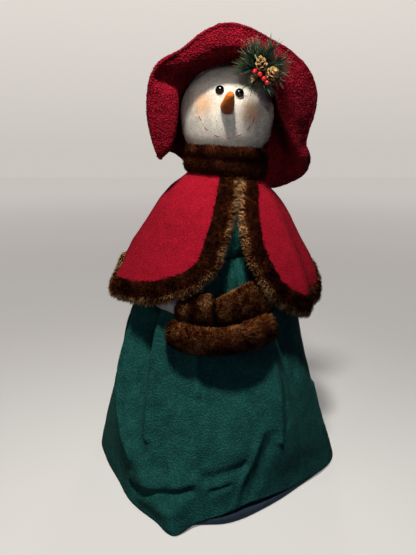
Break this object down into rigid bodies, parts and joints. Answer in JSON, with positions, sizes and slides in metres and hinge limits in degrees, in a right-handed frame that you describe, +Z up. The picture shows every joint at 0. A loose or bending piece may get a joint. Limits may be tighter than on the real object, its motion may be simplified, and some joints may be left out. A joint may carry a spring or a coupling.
{
  "type": "standing fabric snowman doll",
  "caption": "Free-standing stuffed fabric snow lady with a white plush head, floppy red hat, fur-trimmed red cape, fur muff and long green skirt.",
  "frame": {"origin": "on the floor, on the underside of the base, under the middle of the waist", "axes": "+Z up, -Y the way the face looks, +X to the right in the picture"},
  "size_m": [0.4204, 0.4076, 0.6798],
  "materials": {
    "green_fleece": "matt brushed fleece",
    "crimson_fleece": "matt brushed fleece",
    "dark_red_fleece": "curly fleece pile",
    "brown_fur": "short fake fur, golden tips on dark brown",
    "navy_cloth": "plain woven",
    "white_plush": "felted plush",
    "white_cloth": "plain woven",
    "black_bead": "polished",
    "orange_felt": "felt",
    "red_thread": "twisted thread",
    "pine_needles": "matt, paler tips",
    "cone_scales": "natural with lacquered edges",
    "red_berry": "lacquered"
  },
  "bodies": {
    "root": {"base": "navy_cloth", "skirt": "green_fleece", "bodice": "green_fleece", "arm_left": "white_cloth", "arm_right": "white_cloth", "cuff_left": "brown_fur", "cuff_right": "brown_fur", "muff": "brown_fur", "cape": "crimson_fleece", "cape_trim": "brown_fur", "collar": "brown_fur", "head": "white_plush", "eye_left": "black_bead", "eye_right": "black_bead", "nose": "orange_felt", "mouth_stitch_1": "red_thread", "mouth_stitch_2": "red_thread", "mouth_stitch_3": "red_thread", "mouth_stitch_4": "red_thread", "mouth_stitch_5": "red_thread", "mouth_stitch_6": "red_thread", "mouth_stitch_7": "red_thread", "hat_crown": "dark_red_fleece", "hat_brim": "dark_red_fleece", "pine_sprig": "pine_needles", "cone_1": "cone_scales", "cone_2": "cone_scales", "cone_3": "cone_scales", "berry_1": "red_berry", "berry_2": "red_berry", "berry_3": "red_berry", "berry_4": "red_berry"}
  },
  "joints": []
}
